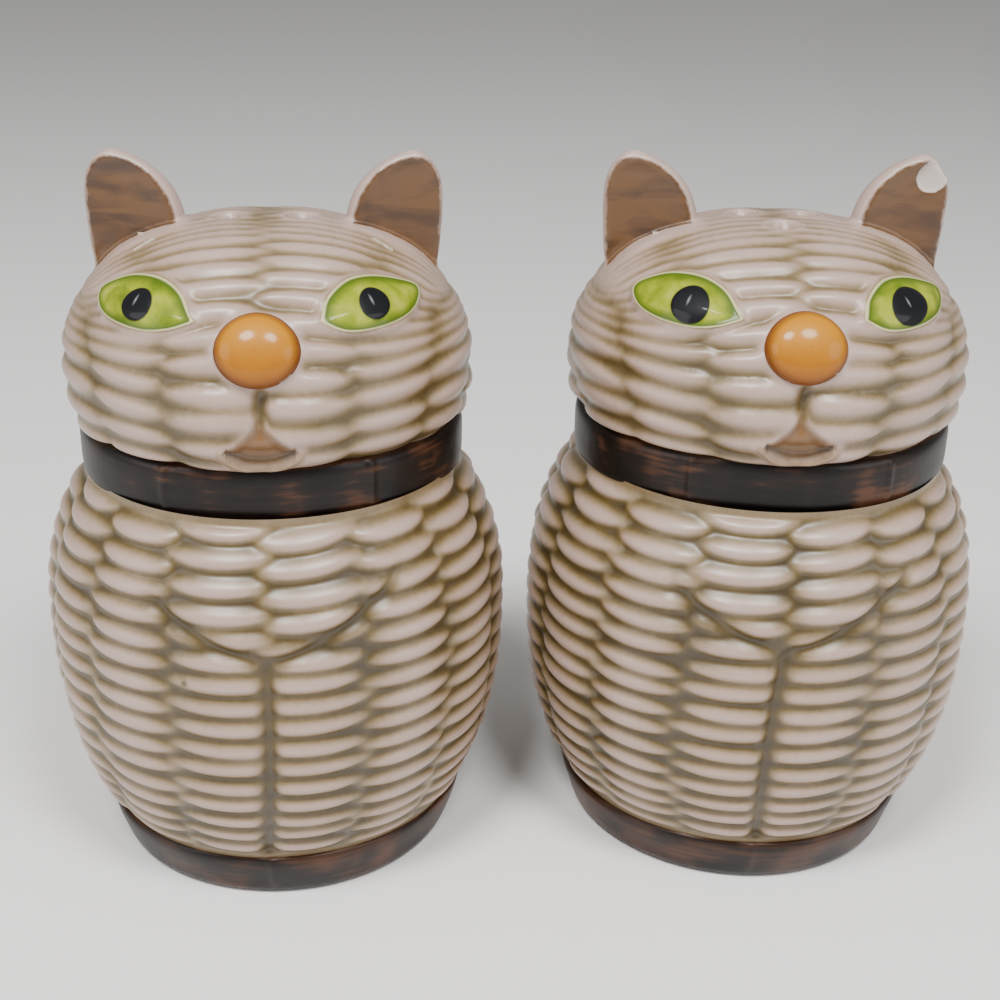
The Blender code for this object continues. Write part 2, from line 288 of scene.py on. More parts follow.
def ivoryColour(tree, place, look):
    depth = addNode(tree, "ShaderNodeAttribute", {"attribute_name": "pool"}).outputs["Fac"]
    for size, share, detail in (("grain", "grainShare", 3.0), ("cloud", "cloudShare", 2.0)):
        noise = addNode(tree, "ShaderNodeTexNoise", {"Scale": 1 / look[size], "Detail": detail},
                        {"Vector": place})
        amount = look[share]
        drift = addNode(tree, "ShaderNodeMath", {"operation": "MULTIPLY_ADD", 1: amount, 2: -amount / 2},
                        {0: noise.outputs[0]})
        depth = addNode(tree, "ShaderNodeMath", {"operation": "ADD", "use_clamp": size == "cloud"},
                        {0: depth, 1: drift})
    tones = [look[name] for name in ("crown", "crownWarm", "slope", "groove", "deep")]
    stops = list(zip(look["poolStops"], tones))
    return addNode(tree, "ShaderNodeValToRGB", {"stops": stops}, {0: depth}).outputs[0]


def finishGlaze(tree, shader, place, colour, look):
    tree.links.new(colour, shader.inputs["Base Color"])
    for socket, key in (("Roughness", "roughness"), ("Coat Weight", "coat"),
                        ("Coat Roughness", "coatRoughness"), ("Specular IOR Level", "specular")):
        shader.inputs[socket].default_value = look[key]
    shader.inputs["IOR"].default_value = 1.5
    ripple = addNode(tree, "ShaderNodeTexNoise", {"Scale": 0.6, "Detail": 2.0}, {"Vector": place})  # per mm
    bump = addNode(tree, "ShaderNodeBump", {"Strength": 0.5, "Distance": look["ripple"] * mm},
                   {"Height": ripple.outputs[0]})
    tree.links.new(bump.outputs[0], shader.inputs["Normal"])


# Earthenware cast in a mould and dipped in a transparent ivory glaze: thin and pale on the
# crowns of the weave, pooled to olive in its grooves, with a soft broad gloss over all.
def ivoryGlaze():
    material, tree, shader = startMaterial("earthenwareIvoryGlaze")
    place = placeInMm(tree)
    colour = ivoryColour(tree, place, glazeLook)
    finishGlaze(tree, shader, place, colour, glazeLook)
    return material


paintLook = {
    "ear": "#5C3C18",
    "earStroke": "#40260C",
    "mouth": "#66441A",
    # painted shade in the crease along the mouth's lower line
    "mouthDark": "#48300F",
    # painted light on the raised roof inside the mouth
    "tongue": "#74502A",
    "lip": "#957A5E",
    "bare": "#BDB0A8",
    "wobble": 0.9,                        # waves per mm along a painted edge
    "strokeTilt": 0.45,
    "strokes": (0.10, 0.2, 0.34),         # strokes per mm, long across the ear
    "strokeStops": (0.36, 0.55),
}


# The same glaze over touches of tan brushed into the ears and the mouth before it was fired; in the mouth,
# painted shade along the crease above the lip and painted light on its raised roof.
def headGlaze():
    material, tree, shader = startMaterial("earthenwareIvoryGlazeTanPaint")
    place = placeInMm(tree)
    colour = ivoryColour(tree, place, glazeLook)
    look = paintLook
    wobble = addNode(tree, "ShaderNodeTexNoise", {"Scale": look["wobble"], "Detail": 2.0}, {"Vector": place})
    streak = addNode(tree, "ShaderNodeMapping",
                     {"Rotation": (0, look["strokeTilt"], 0), "Scale": look["strokes"]}, {"Vector": place})
    brush = addNode(tree, "ShaderNodeTexNoise", {"Scale": 1.0, "Detail": 3.0, "Distortion": 0.8},
                    {"Vector": streak})
    stops = list(zip(look["strokeStops"], (look["earStroke"], look["ear"])))
    earTone = addNode(tree, "ShaderNodeValToRGB", {"stops": stops}, {0: brush.outputs[0]}).outputs[0]
    # Each touch of paint, its tone and the mm over which its edge softens. The mouth's dark lower line is
    # painted shade and its paler roof is painted light.
    for name, tone, soft in (("ear", earTone, 0.4), ("mouth", look["mouth"], 1.3),
                             ("tongue", look["tongue"], 1.0), ("lip", look["lip"], 1.4),
                             ("mouthDark", look["mouthDark"], 1.0), ("chip", look["bare"], 0.2)):
        mask = addNode(tree, "ShaderNodeAttribute", {"attribute_name": name})  # mm inside the painted edge
        edge = addNode(tree, "ShaderNodeMath", {"operation": "MULTIPLY_ADD", 1: 0.5, 2: -0.25},
                       {0: wobble.outputs[0]})
        inside = addNode(tree, "ShaderNodeMath", {"operation": "ADD"}, {0: mask.outputs["Fac"], 1: edge})
        share = addNode(tree, "ShaderNodeMapRange", {1: -soft / 2, 2: soft / 2}, {0: inside})
        colour = mixed(tree, share.outputs[0], colour, tone)
    finishGlaze(tree, shader, place, colour, glazeLook)
    return material


eyeLook = {
    "rim": "#BDB684",
    "edge": "#3E5600",
    "green": "#87930F",
    "pale": "#A2A63A",
    "shade": "#5C6E04",
    "pupil": "#04050A",
    # painted highlight: a pale streak across each pupil
    "glint": "#9A9CA2",
    "brush": 0.3,                   # strokes per mm
    "brushStops": (0.30, 0.50, 0.72),
    "edgeSpan": (0.3, 1.7),         # mm over which each tone sets in
    "rimSpan": (0.02, 0.28),
    "pupilSpan": (-0.08, 0.08),
    "glintSpan": (-0.1, 0.25),
    "roughness": 0.5,
    "coat": 0.25,
    "coatRoughness": 0.10,
    "ripple": 0.05,
    "specular": 0.2,
}


# Yellow-green enamel painted thin over the white body, streaked where the brush turned, with a painted
# highlight streak across each pupil.
def eyeEnamel():
    material, tree, shader = startMaterial("paintedGreenEnamelGlazed")
    place = placeInMm(tree)
    look = eyeLook
    brush = addNode(tree, "ShaderNodeTexNoise", {"Scale": look["brush"], "Detail": 3.0, "Distortion": 0.4},
                    {"Vector": place})
    stops = list(zip(look["brushStops"], (look["shade"], look["green"], look["pale"])))
    colour = addNode(tree, "ShaderNodeValToRGB", {"stops": stops}, {0: brush.outputs[0]}).outputs[0]
    for tone, mask, inward in (("edge", "edge", False), ("rim", "edge", False), ("pupil", "pupil", True),
                               ("glint", "glint", True)):
        field = addNode(tree, "ShaderNodeAttribute", {"attribute_name": mask})
        start, end = look[tone + "Span"]
        share = addNode(tree, "ShaderNodeMapRange", {1: start, 2: end}, {0: field.outputs["Fac"]})
        pair = (colour, look[tone]) if inward else (look[tone], colour)
        colour = mixed(tree, share.outputs[0], *pair)
    finishGlaze(tree, shader, place, colour, look)
    return material


noseLook = {
    # painted light and shade: paler on top, darker low down and round the rim
    "top": "#B47600",
    "low": "#925400",
    "edge": "#6C3600",
    "roughness": 0.5,
    "coat": 0.35,
    "coatRoughness": 0.14,
    "ripple": 0.05,
    "specular": 0.2,
    "grain": 0.5,               # specks per mm
    "grainShare": 0.3,
    "toneStops": (0.1, 0.75),   # share of the nose's height
    "edgeSpan": (0.05, 0.9),    # mm
}


# Orange enamel, thick and very glossy, painted lighter on top and darker towards its lower edge and its rim:
# painted light and shade.
def noseEnamel():
    material, tree, shader = startMaterial("paintedOrangeEnamelGlazed")
    place = placeInMm(tree)
    look = noseLook
    height = addNode(tree, "ShaderNodeAttribute", {"attribute_name": "rise"})
    edge = addNode(tree, "ShaderNodeAttribute", {"attribute_name": "edge"})
    grain = addNode(tree, "ShaderNodeTexNoise", {"Scale": look["grain"], "Detail": 3.0}, {"Vector": place})
    share = look["grainShare"]
    lift = addNode(tree, "ShaderNodeMath", {"operation": "MULTIPLY_ADD", 1: share, 2: -share / 2},
                   {0: grain.outputs[0]})
    lift = addNode(tree, "ShaderNodeMath", {"operation": "ADD"}, {0: lift, 1: height.outputs["Fac"]})
    stops = list(zip(look["toneStops"], (look["low"], look["top"])))
    tone = addNode(tree, "ShaderNodeValToRGB", {"stops": stops}, {0: lift})
    start, end = look["edgeSpan"]
    rim = addNode(tree, "ShaderNodeMapRange", {1: start, 2: end}, {0: edge.outputs["Fac"]})
    colour = mixed(tree, rim.outputs[0], look["edge"], tone.outputs[0])
    finishGlaze(tree, shader, place, colour, look)
    return material


darkLook = {
    "black": "#050201",
    "brown": "#180C07",
    "worn": "#4A2C1A",
    "brushLength": 9.0,       # mm along a stroke
    "brushWidth": 0.8,
    "roughness": 0.45,
    "coat": 0.12,
    "coatRoughness": 0.2,
    "ripple": 0.08,
    "specular": 0.25,
    "patch": 0.13,                     # patches per mm
    "strokeShare": 0.55,
    "toneStops": (0.66, 0.84, 1.0),
    "edgeSpan": (0.1, 0.5),            # mm from the band's edge where the paint is thin
}


# Dark brown underglaze brushed round the band, nearly black where it is thick and reddish
# where the brush ran dry.
def darkBand(name, worn):
    material, tree, shader = startMaterial(name)
    place = placeInMm(tree)
    look = darkLook
    along, across, edge = [addNode(tree, "ShaderNodeAttribute", {"attribute_name": field}).outputs["Fac"]
                           for field in ("along", "across", "edge")]
    stroke = addNode(tree, "ShaderNodeCombineXYZ", None, {0: along, 1: across})
    stretched = addNode(tree, "ShaderNodeMapping",
                        {"Scale": (1 / look["brushLength"], 1 / look["brushWidth"], 1)}, {"Vector": stroke})
    brush = addNode(tree, "ShaderNodeTexNoise", {"Scale": 1.0, "Detail": 4.0}, {"Vector": stretched})
    patch = addNode(tree, "ShaderNodeTexNoise", {"Scale": look["patch"], "Detail": 2.0}, {"Vector": place})
    both = addNode(tree, "ShaderNodeMath", {"operation": "MULTIPLY_ADD", 1: look["strokeShare"]},
                   {0: brush.outputs[0], 2: patch.outputs[0]})
    low, middle, high = look["toneStops"]
    stops = [(low - worn, look["black"]), (middle - worn, look["brown"]), (high, look["worn"])]
    tone = addNode(tree, "ShaderNodeValToRGB", {"stops": stops}, {0: both})
    start, end = look["edgeSpan"]
    thin = addNode(tree, "ShaderNodeMapRange", {1: start, 2: end}, {0: edge})
    colour = mixed(tree, thin.outputs[0], look["worn"], tone.outputs[0])
    finishGlaze(tree, shader, place, colour, look)
    return material


insideLook = {
    "stain": "#B7A78C",
    "white": "#D9D0C2",
    "toneStops": (0.35, 0.6),
    "fleck": 1 / 1.2,        # flecks per mm
    "detail": 6.0,
    "roughness": 0.8,
    "bumpStrength": 0.4,
    "bump": 0.05,            # mm
}

rubberLook = {
    "dusty": "#B5AA95",
    "pale": "#CFC6B4",
    "toneStops": (0.4, 0.6),
    "fleck": 0.8,
    "detail": 5.0,
    "roughness": 0.45,
    "bumpStrength": 0.3,
    "bump": 0.03,
    "glow": 0.15,            # how much light soaks in, and how many mm deep
    "glowDepth": 1.5,
}


def mattSkin(name, dark, light, look):
    material, tree, shader = startMaterial(name)
    place = placeInMm(tree)
    grain = addNode(tree, "ShaderNodeTexNoise", {"Scale": look["fleck"], "Detail": look["detail"]},
                    {"Vector": place})
    stops = list(zip(look["toneStops"], (look[dark], look[light])))
    tone = addNode(tree, "ShaderNodeValToRGB", {"stops": stops}, {0: grain.outputs[0]})
    tree.links.new(tone.outputs[0], shader.inputs["Base Color"])
    shader.inputs["Roughness"].default_value = look["roughness"]
    bump = addNode(tree, "ShaderNodeBump", {"Strength": look["bumpStrength"], "Distance": look["bump"] * mm},
                   {"Height": grain.outputs[0]})
    tree.links.new(bump.outputs[0], shader.inputs["Normal"])
    return material, shader


# The poured-out inside: matt, dry, with a faint stain.
def bisque():
    return mattSkin("earthenwareBisqueUnglazed", "stain", "white", insideLook)[0]


# Soft PVC, moulded: milky, faintly yellowed, with a satin skin.
def softPlug():
    material, shader = mattSkin("softPvcMoulded", "dusty", "pale", rubberLook)
    shader.inputs["Subsurface Weight"].default_value = rubberLook["glow"]
    shader.inputs["Subsurface Scale"].default_value = rubberLook["glowDepth"] * mm
    return material


ivory = ivoryGlaze()
painted = headGlaze()
green = eyeEnamel()
orange = noseEnamel()
collarPaint = darkBand("brushedBrownUnderglazeCollar", 0.0)
footPaint = darkBand("brushedBrownUnderglazeFoot", 0.12)
bare = bisque()
plug = softPlug()
print("materials made")


# The weave: pillows in columns and rows, each tucking its ends under the next column.
weaveLook = {
    "reach": 1.14,        # half-length of a pillow, in half columns
    "bluntReach": 1.30,   # and where it ends square against a groove
    "lens": 2.3,          # how slowly a pillow thins towards its ends
    "crown": 0.90,        # low is flat-topped
    "skew": 0.14,         # how far the crown sits below the middle
    "uneven": 0.22,
    "knee": 5.5,          # from this row up the outer columns of the head have taller rows
    "bluntShift": 0.25,   # how far a square-ended pillow moves off the groove
    "bluntEnd": (0.84, 1.02),
    "tilt": 0.8,
    "widthPower": 0.5,    # how the width and the height fall away to the ends
    "heightPower": 0.45,
}


def weave(across, rows, phase, seed, fatness):
    # Counts columns in across and rows in rows, and gives 0 in a groove to 1 on a crown.
    look = weaveLook
    height = np.zeros_like(across)
    for step in (-1, 0, 1):
        column = np.floor(across) + step
        local = (across - column - 0.5) * 2
        shift, pitch, smile, key, blunt = phase(column, local)
        line = np.minimum(rows, look["knee"]) + np.maximum(rows - look["knee"], 0) / pitch - shift - smile
        for side in (-0.5, 0.5):
            row = np.floor(line) + 0.5 + side
            first, second = chance(key, row, seed), chance(row, key, seed + 5)
            reach = look["reach"] + (look["bluntReach"] - look["reach"]) * np.abs(blunt)
            reach = reach * (1 + look["uneven"] * (first - 0.5))
            drift = 0.25 * look["uneven"] * (second - 0.5)
            span = np.abs((local - look["bluntShift"] * blunt + drift) / reach)
            square = np.abs(blunt) * smooth(*look["bluntEnd"], local * np.sign(blunt))
            inside = np.clip(1 - span ** look["lens"], 0, 1) * (1 - square)
            half = fatness * inside ** look["widthPower"]
            off = 2 * (line - row) + look["uneven"] * (second - 0.5) * (1 + look["tilt"] * local)
            off = off - look["skew"] * (1 - np.clip(off, -1, 1) ** 2)
            bulge = np.clip(1 - np.abs(off / np.maximum(half, 1e-3)) ** 2, 0, 1) ** look["crown"]
            crown = bulge * inside ** look["heightPower"] * (1 - 0.5 * look["uneven"] * first)
            height = np.maximum(height, crown)
    return height


bodyLook = {
    "columns": 15,
    "fatness": 0.90,         # width of a pillow in row pitches
    "rowPitch": 3.2,
    "firstRow": 56.9,
    "relief": 1.1,
    "soften": 6,             # rounds of smoothing, as glaze fills the carving
    "scallop": 0.25,         # mm that a whole column bulges
    "proud": 0.15,           # mm of glaze over the cast form
    "poolPower": 1.15,
    "levels": (6.3, 58.4),
    "stepsAround": 560,
    "stepsUp": 174,
    "stagger": 0.5,
    "staggerUneven": 0.16,
    "besideStagger": 0.45,   # in the columns beside the crease
    "chestStagger": 0.34,
    "smile": 0.10,
    "chestSlant": 0.14,
    "shortRowsBelow": 16,
    "shortPitch": 2.75,
    "weaveEnds": (7.9, 9.0, 56.6, 57.6),
    "flatHeight": 0.35,      # of the plain rims above and below the weave
    "shoulderLow": 40.8,     # lowest point of the V between chest and haunches
    "shoulderRise": (0.16, 0.0031),
    "shoulderEnds": (31.0, 36.0),
    "chestLedge": 0.28,
    "grooveDepth": 0.35,
    "grooveWidth": 1.0,
    "creaseDepth": 0.55,
    "creaseWidth": 1.1,
    "creaseTurn": -0.3,
    "leanFrom": (33, 27),    # the crease leans below this level, over this many mm
    "bowMiddle": (24, 300),
    "pit": (-19.5, 37.6, 0.6),   # a bare spot left in the glaze: turn, level, radius
    "pitDepth": 0.5,
}


def bodyPhase(chestSide):
    # Rows of neighbouring columns are staggered, except beside the crease between the legs.
    look = bodyLook
    last = look["columns"] - 1

    def phase(column, local):
        key = np.mod(column, look["columns"])
        uneven = look["staggerUneven"] * (chance(key, 3) - 0.5)
        shift = np.where(np.mod(key, 2) == 1, look["stagger"], 0.0) + uneven
        shift = np.where(key == last, 0.0, shift)
        shift = np.where(key == 0, np.where(chestSide > 0, look["chestStagger"], 0.0), shift)
        shift = np.where((key == 1) | (key == last - 1), look["besideStagger"], shift)
        slant = look["chestSlant"] * local * ((key == 0) & (chestSide > 0))
        smile = -look["smile"] * local ** 2 - slant
        blunt = np.where(key == last, 1.0, 0.0) - np.where(key == 0, 1.0, 0.0)
        return shift, 1.0, smile, key, np.where(chestSide > 0, 0.0, blunt)
    return phase


def makeBody(key):
    shaker, look = shakers[key], bodyLook
    turns = np.arange(look["stepsAround"]) / look["stepsAround"] * 360 - 180
    levels = np.linspace(*look["levels"], 400)   # fine steps, to space the rings evenly on the curve
    lengths = np.concatenate([[0], np.cumsum(np.hypot(np.diff(levels), np.diff(bodyRadius(levels))))])
    levels = np.interp(np.linspace(0, lengths[-1], look["stepsUp"]), lengths, levels)
    turn, z = [grid.ravel() for grid in np.meshgrid(turns, levels)]
    radius = bodyRadius(z)
    arc = np.radians(1) * radius

    # The V under the chest, then the crease between the legs, each as mm away and how strong.
    rise, bend = look["shoulderRise"]
    vLine = look["shoulderLow"] + rise * np.abs(turn) + bend * turn ** 2
    vSlope = (rise + 2 * bend * np.abs(turn)) / arc
    vGap = (z - vLine) / np.sqrt(1 + vSlope ** 2)
    ends = np.where(turn < 0, look["shoulderEnds"][0], look["shoulderEnds"][1])
    vShare = 1 - smooth(ends - 7, ends + 1.5, np.abs(turn))
    leanTop, leanRun = look["leanFrom"]
    bowLevel, bowRun = look["bowMiddle"]
    below = np.clip((leanTop - z) / leanRun, 0, 1)
    crease = look["creaseTurn"] - shaker["creaseLean"] * below ** 1.6
    crease = crease + shaker["creaseBow"] * (1 - (z - bowLevel) ** 2 / bowRun)
    cGap = (turn - crease) * arc
    cShare = smooth(7.4, 8.6, z) * (1 - smooth(look["shoulderLow"] - 1, look["shoulderLow"] + 0.6, z))

    lastTall = look["shortRowsBelow"]
    rows = (look["firstRow"] - z) / look["rowPitch"]
    short = (look["firstRow"] - lastTall) / look["rowPitch"] + (lastTall - z) / look["shortPitch"]
    rows = np.where(z < lastTall, short, rows)
    faces = gridFaces(look["stepsUp"], look["stepsAround"])
    wide = 360 / look["columns"]
    height = weave((turn - np.where(vGap > 0, 0.0, crease * cShare)) / wide, rows, bodyPhase(vGap),
                   shaker["seed"], look["fatness"])
    footEnd, footFull, neckFull, neckEnd = look["weaveEnds"]
    margin = smooth(footEnd, footFull, z) * (1 - smooth(neckFull, neckEnd, z))
    height = height * margin + look["flatHeight"] * (1 - margin)
    vCut = vShare * bell(vGap, look["grooveWidth"])
    cCut = cShare * bell(cGap, look["creaseWidth"])
    height = relaxed(height * (1 - vCut) * (1 - cCut), faces, look["soften"])
    ledge = vShare * look["chestLedge"] * smooth(-0.9, 1.4, vGap) * (1 - smooth(1.4, 9, vGap))
    pitTurn, pitLevel, pitSize = look["pit"]
    pit = bell(np.hypot((turn - pitTurn) * arc, z - pitLevel), pitSize) * shaker["pit"]

    local = (turn / wide - np.floor(turn / wide) - 0.5) * 2
    scallop = look["scallop"] * (0.5 - np.abs(local) ** 2.5) * margin
    out = radius + look["proud"] + look["relief"] * (height - 1) + scallop + ledge
    out = out - look["grooveDepth"] * vCut - look["creaseDepth"] * cCut - look["pitDepth"] * pit
    angle = np.radians(turn)
    points = np.stack([out * np.sin(angle), -out * np.cos(angle), z], 1)

    pool = (1 - height) ** look["poolPower"]
    for extra in (vShare * bell(vGap, 1.2) * 0.7, cShare * bell(cGap, 1.3) * 0.85,
                  cShare * bell(cGap, 1.9) * smooth(36, 41, z) * 0.8, 0.55 * (1 - smooth(8.0, 9.4, z)),
                  0.9 * pit):
        pool = np.maximum(pool, extra)
    addPiece(key + "_body_weave", key, points, faces, ivory, {"pool": pool})
    print(key, "body woven")


headLook = {
    "voxel": 0.335,          # mm, the grain of the one skin over dome and ears
    "skinSoften": 4,
    "normalSoften": 3,
    "fatness": 0.94,
    "relief": 1.15,
    "soften": 6,
    "columnAngle": 25.0,
    "foreheadAngle": 33.0,   # the columns grow longer above the eyes
    "muzzleTurn": 13.0,
    "muzzleLevel": 70.2,
    "muzzleBulge": 1.2,
    "muzzleSpread": 5.5,
    "muzzleArc": 0.46,       # mm to a degree
    "holeRadius": 1.8,
    "holeDepth": 5.0,
    "holeCut": (2.2, 82, 87.4),       # the skin is open inside this radius between these levels
    "castLow": 62.5,
    "hem": 63.2,                      # everything below hides under the collar
    "domeFrom": 84,
    "domeRun": 7.6,
    "wallRings": 30,
    "domeRings": 26,
    "steps": 128,
    "frontStagger": {-2: 0.0, -1: -0.25, 0: 0.25, 1: 0.45},
    "pitches": (1.0, 1.42, 2.0),      # row heights on the forehead, from the middle outwards
    "strandRise": (-15, 0, 44.5, 70.3, 90),   # degrees up and over the head
    "strandRows": (-2, 0, 6, 10, 14.7),       # and the strands counted there
    "eyeCrowding": 0.18,              # how much closer strands lie round an eye
    "crowdingReach": 2.0,
    "eyeFade": (0.2, 1.3),            # mm from each feature over which the weave comes in
    "noseFade": (0.1, 0.9),
    "holeFade": (0.3, 1.5),
    "poolPower": 1.1,
    "poolDepth": 0.86,
    "poolLess": 0.16,                 # the glaze pools less above the eyes
    "philtrumTurn": 0.2,
    "philtrum": (69.5, 71.5, 75.0, 77.0),     # levels where it starts, is full, is full, ends
    "mouthTop": 71.3,
    "mouthLow": 67.5,
    "mouthSag": 1.9,
    "lipLow": 64.3,
    "lipHalf": 4.9,
    "mouthHalf": 4.4,
    "mouthPower": 1.35,      # how pointed the mouth's peak is
    "mouthDepth": 1.2,
    "lineHalf": 0.55,
    "lineLift": 0.3,
    "roof": (2.2, 68.6, 1.1),         # stretch, level and half height of the lit part inside
    "lipCurve": 2.6,
    "roofHeight": 0.45,
    "lineDepth": 0.35,
    "lipHeight": 0.4,
    "philtrumDepth": 0.7,
    "lidRidge": 0.28,
    "holeDip": 0.25,
    "chipDepth": 0.3,
    "hemTuck": 1.2,
    "proud": 0.15,
    "chip": (21.0, 0.2, 96.7, 2.2),   # where the rim was knocked, and how wide
}

earLook = {
    "foot": 16.8,
    "lean": 3.0,
    "root": 83.0,
    "reach": 16.7,
    "halfWidth": 6.5,
    "flatten": 0.56,
    "setBack": 1.5,
    "faceSet": 1.3,          # mm from the ear's middle to its flat face
    "faceTurn": 0.15,        # how far the face turns outward, as a slope
    "dish": 0.7,
    "leanPower": 2.9,
    "roundness": 5,
    "taper": 0.75,
    "rings": 40,
    "spokes": 72,
    "tip": 0.997,            # the last ring, as a share of the height
}

eyeShape = {
    "turn": 39.0,
    "level": 83.5,
    "relief": 0.9,
    "rings": 46,
    "spokes": 200,
    "rim": 0.25,          # mm that the rim stands over the lid's edge
    "proud": 0.15,
    "roundness": 2.4,
    "soften": 12,
    "pupilRise": 0.08,
    "left": [(8.4, -0.9), (5.8, 2.3), (2.4, 3.8), (-1.6, 4.1), (-5.6, 3.3), (-8.7, 1.0), (-6.4, -1.3),
             (-2.4, -2.6), (2.2, -3.0), (5.6, -2.3)],
    "right": [(-8.4, -0.9), (-6.9, 1.9), (-3.4, 3.8), (0.6, 4.1), (4.6, 3.2), (8.2, 1.3), (5.9, -0.9),
              (2.4, -2.3), (-1.8, -2.9), (-5.8, -2.6)],
}

noseShape = {
    "level": 79.9,
    "halfWidth": 5.1,
    "halfHeight": 4.0,
    "relief": 2.1,
    "rings": 40,
    "spokes": 160,
    "proud": 0.3,
    "roundness": 2.2,
    "widening": 0.07,     # wider above the middle than below
}


def outlineRadius(points):  # a smooth closed outline as a radius for each angle
    points = np.array(points)
    count = len(points)
    angles, radii = [], []
    for i in range(count):
        before, start, end, after = (points[(i + k) % count] for k in (-1, 0, 1, 2))
        for share in np.arange(0, 1, 0.1):
            lean = 0.0 if i == 0 else 1.0         # the first point stays a corner
            arrive = 0.0 if i == count - 1 else 1.0
            leave = 0.5 * (end - before) * lean + (end - start) * (1 - lean)
            meet = 0.5 * (after - start) * arrive + (end - start) * (1 - arrive)
            a = 2 * share ** 3 - 3 * share ** 2 + 1
            b = share ** 3 - 2 * share ** 2 + share
            c = share ** 3 - share ** 2
            place = a * start + b * leave + (1 - a) * end + c * meet
            angles.append(math.atan2(place[1], place[0]))
            radii.append(math.hypot(place[0], place[1]))
    order = np.argsort(angles)
    angles, radii = np.array(angles)[order], np.array(radii)[order]
    return lambda angle: np.interp(angle, angles, radii, period=2 * math.pi)


for name in ("left", "right"):
    eyeShape[name + "Radius"] = outlineRadius(eyeShape[name])


def eyeFrame(points, name):  # mm across and up the slope from the middle of an eye
    centre = eyeShape["turn"] * (-1 if name == "left" else 1)
    level = eyeShape["level"]
    slope = headRadius(level + 0.5) - headRadius(level - 0.5)
    turn = np.degrees(np.arctan2(points[:, 0], -points[:, 1] / castForm["headSquash"]))
    return np.radians(turn - centre) * headRadius(level), (points[:, 2] - level) * math.hypot(slope, 1)


def eyeGap(points, name):  # mm outside the outline of an eye, negative inside
    u, v = eyeFrame(points, name)
    reach = np.hypot(u, v)
    edge = eyeShape[name + "Radius"](np.arctan2(v, u))
    return np.where(points[:, 1] < 2, reach - edge, 99.0)


def noseGap(points):
    shape = noseShape
    u, v = points[:, 0] / shape["halfWidth"], (points[:, 2] - shape["level"]) / shape["halfHeight"]
    return np.where(points[:, 1] < 0, (np.hypot(u, v) - 1) * shape["halfHeight"], 99.0)


def earAt(share):
    look = earLook
    middle = look["foot"] + look["lean"] * share ** look["leanPower"]
    half = look["halfWidth"] * np.clip(1 - share ** look["roundness"], 0, 1) ** look["taper"]
    return middle, half


def earDepths(outward, half):  # mm ahead of the ear's middle to its dished face and to its round front
    look = earLook
    across = np.clip(np.abs(outward) / np.maximum(half, 0.01), 0, 1)
    dish = look["dish"] * (1 - across ** 2) * smooth(1.5, 5, half)
    face = look["faceTurn"] * outward - look["faceSet"] + dish
    return face, -look["flatten"] * half * np.sqrt(1 - across ** 2)


def earSolid(side):
    look = earLook
    shares = np.sin(np.linspace(0, 1, look["rings"]) * math.pi / 2) * look["tip"]
    angles = np.arange(look["spokes"]) / look["spokes"] * 2 * math.pi
    share, angle = [grid.ravel() for grid in np.meshgrid(shares, angles, indexing="ij")]
    middle, half = earAt(share)
    outward = half * np.cos(angle)
    face, _ = earDepths(outward, half)
    depth = np.maximum(half * look["flatten"] * np.sin(angle), face)
    x = side * (middle + outward)
    points = np.stack([x, look["setBack"] + depth, look["root"] + look["reach"] * share], 1)
    return points, len(shares), len(angles)


def closedLoft(rings, columns, points, flip):
    # Rings of points closed into fans at both ends, as points in mm and their faces.
    faces = [tuple(face) for face in gridFaces(rings, columns)]
    base, tip = len(points), len(points) + 1
    first, last = points[:columns], points[-columns:]
    points = np.concatenate([points, first.mean(0)[None], last.mean(0)[None]])
    for i in range(columns):
        j = (i + 1) % columns
        faces.append((j, i, base))
        faces.append(((rings - 1) * columns + i, (rings - 1) * columns + j, tip))
    if flip:
        faces = [face[::-1] for face in faces]
    return points, faces


def headSolid():
    form, look = castForm, headLook
    steps, start = look["steps"], look["domeFrom"]
    closing = np.cos(np.linspace(0.05, 1, look["domeRings"]) * math.pi / 2)  # rings close up towards the crown
    wall = np.linspace(look["castLow"], start, look["wallRings"])
    levels = np.concatenate([wall, form["headTop"] - look["domeRun"] * closing])
    angles = np.arange(steps) / steps * 2 * math.pi
    z, angle = [grid.ravel() for grid in np.meshgrid(levels, angles, indexing="ij")]
    radius = np.maximum(headRadius(z), 0.4)
    points = np.stack([radius * np.cos(angle), form["headSquash"] * radius * np.sin(angle), z], 1)
    dome, faces = closedLoft(len(levels), steps, points, False)
    meshes = [(dome, faces)]
    for side in (-1, 1):
        ear, rings, columns = earSolid(side)
        meshes.append(closedLoft(rings, columns, ear, side < 0))
    return meshes


def remeshedHead():  # one skin over the dome and both ears
    points, faces, count = [], [], 0
    for part, sides in headSolid():
        points.append(part)
        faces += [tuple(int(corner) + count for corner in face) for face in sides]
        count += len(part)
    mesh = bpy.data.meshes.new("draft")
    mesh.from_pydata([tuple(point) for point in np.concatenate(points)], [], faces)
    draft = bpy.data.objects.new("draft", mesh)
    bpy.context.scene.collection.objects.link(draft)
    skin = draft.modifiers.new("skin", "REMESH")
    skin.mode = "VOXEL"
    skin.voxel_size = headLook["voxel"]
    made = draft.evaluated_get(bpy.context.evaluated_depsgraph_get()).to_mesh()
    points = np.empty(len(made.vertices) * 3, np.float32)
    made.vertices.foreach_get("co", points)
    faces = np.array([tuple(face.vertices) for face in made.polygons])
    bpy.data.objects.remove(draft)
    return relaxed(points.reshape(-1, 3).astype(float), faces, headLook["skinSoften"]), faces


